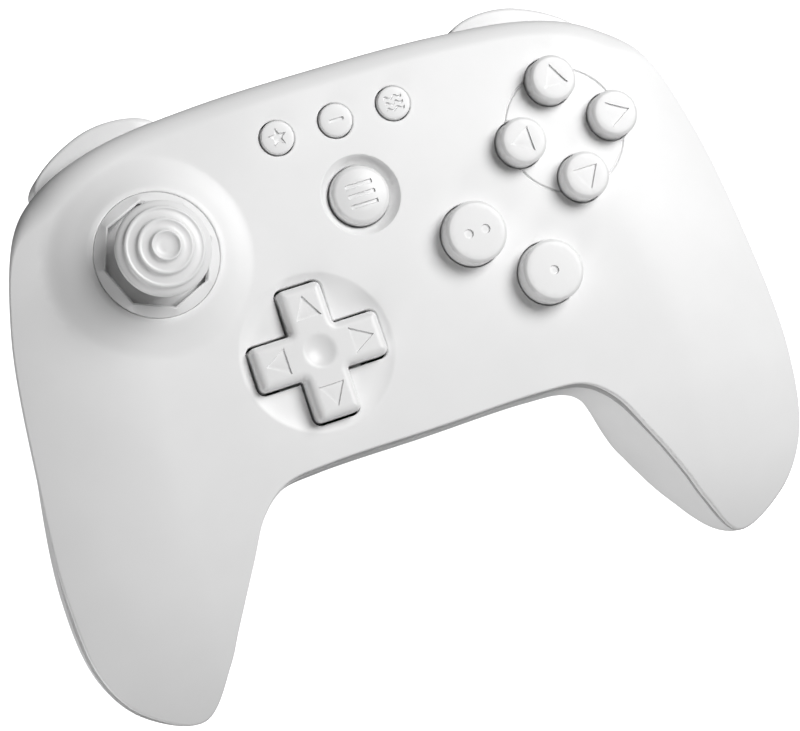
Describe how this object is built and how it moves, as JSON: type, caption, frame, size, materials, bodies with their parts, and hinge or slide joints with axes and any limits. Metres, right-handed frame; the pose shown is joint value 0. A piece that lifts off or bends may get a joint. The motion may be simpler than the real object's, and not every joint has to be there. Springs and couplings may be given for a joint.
{
  "type": "gamepad controller",
  "caption": "Wireless gamepad with two grips, a thumbstick on a gimbal, a rocking direction pad, push buttons, hinged bumpers and sprung triggers.",
  "frame": {"origin": "middle of the box, on the plane through the lowest points of the grips", "axes": "+Z out of the button face, +X to the right of the player, +Y away from the player towards the triggers"},
  "size_m": [0.1492, 0.112, 0.0542],
  "materials": {
    "white_shell": "fine satin moulded texture",
    "white_control": "satin moulded plastic",
    "silicone": "translucent grey silicone",
    "pivot_plastic": "acetal",
    "dark_plastic": "black moulding",
    "steel": "plain bright steel",
    "brass_weight": "sintered heavy metal",
    "circuit_board": "green solder mask",
    "clear_plastic": "milky clear plastic",
    "cell_wrap": "shrink film",
    "wire": "wire insulation",
    "connector": "nylon"
  },
  "bodies": {
    "case": {"front_shell": "white_shell", "rear_shell": "white_shell", "stick_gate_ring": "white_control", "stick_housing": "dark_plastic", "stick_sensors": "circuit_board", "pad_pivot_post": "pivot_plastic", "pad_membrane": "silicone", "menu_membrane": "silicone", "ring_membrane": "silicone", "action_membrane": "silicone", "left_trigger_pin": "steel", "right_trigger_pin": "steel", "left_trigger_spring": "steel", "right_trigger_spring": "steel", "bumper_switches": "dark_plastic", "trigger_switches": "dark_plastic", "main_board": "circuit_board", "board_chips": "dark_plastic", "usb_port": "steel", "pair_switch": "dark_plastic", "mode_switch_body": "steel", "light_bar": "clear_plastic", "status_lamps": "clear_plastic", "battery_cell": "cell_wrap", "battery_lead": "wire", "battery_connector": "connector", "left_rumble_motor": "steel", "right_rumble_motor": "steel", "shell_screws": "steel", "board_screws": "steel"},
    "stick_cross_yoke": {"stick_cross_yoke": "pivot_plastic"},
    "stick": {"thumbstick": "white_control", "stick_shaft": "steel"},
    "stick_arch_yoke": {"stick_arch_yoke": "pivot_plastic"},
    "pad_pivot_cup": {"pad_pivot_cup": "pivot_plastic"},
    "direction_pad": {"direction_pad": "white_control"},
    "left_bumper": {"left_bumper": "white_control"},
    "right_bumper": {"right_bumper": "white_control"},
    "left_trigger": {"left_trigger": "white_control"},
    "right_trigger": {"right_trigger": "white_control"},
    "pair_button": {"pair_button": "white_control"},
    "mode_slider": {"mode_slider": "white_control"},
    "left_rumble_weight": {"left_rumble_weight": "brass_weight"},
    "right_rumble_weight": {"right_rumble_weight": "brass_weight"},
    "start_button": {"start_button": "white_control"},
    "star_button": {"star_button": "white_control"},
    "minus_button": {"minus_button": "white_control"},
    "wave_button": {"wave_button": "white_control"},
    "ring_button_up": {"ring_button_up": "white_control"},
    "ring_button_right": {"ring_button_right": "white_control"},
    "ring_button_down": {"ring_button_down": "white_control"},
    "ring_button_left": {"ring_button_left": "white_control"},
    "upper_action_button": {"upper_action_button": "white_control"},
    "lower_action_button": {"lower_action_button": "white_control"}
  },
  "joints": [
    {"name": "stick_tilt_x", "type": "hinge", "parent": "case", "child": "stick_cross_yoke", "pos_m": [-0.0404, 0.02667, 0.032], "axis": [1, 0, 0], "range_deg": [-16, 16], "stiffness_Nm_per_rad": 0.03},
    {"name": "stick_tilt_y", "type": "hinge", "parent": "stick_cross_yoke", "child": "stick", "pos_m": [-0.0404, 0.02667, 0.032], "axis": [0, 1, 0], "range_deg": [-16, 16], "stiffness_Nm_per_rad": 0.03},
    {"name": "stick_arch_follow", "type": "hinge", "parent": "case", "child": "stick_arch_yoke", "pos_m": [-0.0404, 0.02667, 0.032], "axis": [0, 1, 0], "range_deg": [-16, 16]},
    {"name": "pad_rock_x", "type": "hinge", "parent": "case", "child": "pad_pivot_cup", "pos_m": [-0.0173, 0.00127, 0.0354], "axis": [1, 0, 0], "range_deg": [-4, 4], "stiffness_Nm_per_rad": 0.12, "deforming": ["pad_membrane"]},
    {"name": "pad_rock_y", "type": "hinge", "parent": "pad_pivot_cup", "child": "direction_pad", "pos_m": [-0.0173, 0.00127, 0.0354], "axis": [0, 1, 0], "range_deg": [-4, 4], "stiffness_Nm_per_rad": 0.12},
    {"name": "start_press", "type": "slide", "parent": "case", "child": "start_button", "axis": [0, 0, -1], "range_m": [0, 0.0007], "stiffness_N_per_m": 900, "springref_m": -0.0006, "deforming": ["menu_membrane"]},
    {"name": "star_press", "type": "slide", "parent": "case", "child": "star_button", "axis": [0, 0, -1], "range_m": [0, 0.0007], "stiffness_N_per_m": 900, "springref_m": -0.0006},
    {"name": "minus_press", "type": "slide", "parent": "case", "child": "minus_button", "axis": [0, 0, -1], "range_m": [0, 0.0007], "stiffness_N_per_m": 900, "springref_m": -0.0006},
    {"name": "wave_press", "type": "slide", "parent": "case", "child": "wave_button", "axis": [0, 0, -1], "range_m": [0, 0.0007], "stiffness_N_per_m": 900, "springref_m": -0.0006},
    {"name": "ring_up_press", "type": "slide", "parent": "case", "child": "ring_button_up", "axis": [0, 0, -1], "range_m": [0, 0.0014], "stiffness_N_per_m": 500, "springref_m": -0.0006, "deforming": ["ring_membrane"]},
    {"name": "ring_right_press", "type": "slide", "parent": "case", "child": "ring_button_right", "axis": [0, 0, -1], "range_m": [0, 0.0014], "stiffness_N_per_m": 500, "springref_m": -0.0006},
    {"name": "ring_down_press", "type": "slide", "parent": "case", "child": "ring_button_down", "axis": [0, 0, -1], "range_m": [0, 0.0014], "stiffness_N_per_m": 500, "springref_m": -0.0006},
    {"name": "ring_left_press", "type": "slide", "parent": "case", "child": "ring_button_left", "axis": [0, 0, -1], "range_m": [0, 0.0014], "stiffness_N_per_m": 500, "springref_m": -0.0006},
    {"name": "upper_action_press", "type": "slide", "parent": "case", "child": "upper_action_button", "axis": [0, 0, -1], "range_m": [0, 0.0014], "stiffness_N_per_m": 500, "springref_m": -0.0006, "deforming": ["action_membrane"]},
    {"name": "lower_action_press", "type": "slide", "parent": "case", "child": "lower_action_button", "axis": [0, 0, -1], "range_m": [0, 0.0014], "stiffness_N_per_m": 500, "springref_m": -0.0006},
    {"name": "left_bumper_press", "type": "hinge", "parent": "case", "child": "left_bumper", "pos_m": [-0.0312, 0.04697, 0.0273], "axis": [0, 0, 1], "range_deg": [0, 1.5], "stiffness_Nm_per_rad": 1.2, "springref_deg": -1.15},
    {"name": "left_trigger_pull", "type": "hinge", "parent": "case", "child": "left_trigger", "pos_m": [-0.0386, 0.04147, 0.02], "axis": [-1, 0, 0], "range_deg": [0, 12], "stiffness_Nm_per_rad": 0.1, "springref_deg": -17.19, "deforming": ["left_trigger_spring"]},
    {"name": "left_rumble_spin", "type": "hinge", "parent": "case", "child": "left_rumble_weight", "pos_m": [-0.056, -0.02153, 0.018], "axis": [0, 1, 0], "continuous": true},
    {"name": "right_bumper_press", "type": "hinge", "parent": "case", "child": "right_bumper", "pos_m": [0.0312, 0.04697, 0.0273], "axis": [0, 0, -1], "range_deg": [0, 1.5], "stiffness_Nm_per_rad": 1.2, "springref_deg": -1.15},
    {"name": "right_trigger_pull", "type": "hinge", "parent": "case", "child": "right_trigger", "pos_m": [0.0386, 0.04147, 0.02], "axis": [-1, 0, 0], "range_deg": [0, 12], "stiffness_Nm_per_rad": 0.1, "springref_deg": -17.19, "deforming": ["right_trigger_spring"]},
    {"name": "right_rumble_spin", "type": "hinge", "parent": "case", "child": "right_rumble_weight", "pos_m": [0.056, -0.02153, 0.018], "axis": [0, 1, 0], "continuous": true},
    {"name": "pair_press", "type": "slide", "parent": "case", "child": "pair_button", "axis": [0, -1, 0], "range_m": [0, 0.0004], "stiffness_N_per_m": 1500, "springref_m": -0.0003},
    {"name": "mode_slide", "type": "slide", "parent": "case", "child": "mode_slider", "axis": [1, 0, 0], "range_m": [-0.0015, 0.0015]}
  ],
  "couplings": [
    {"joint": "stick_arch_follow", "follows": "stick_tilt_y", "ratio": 1}
  ]
}
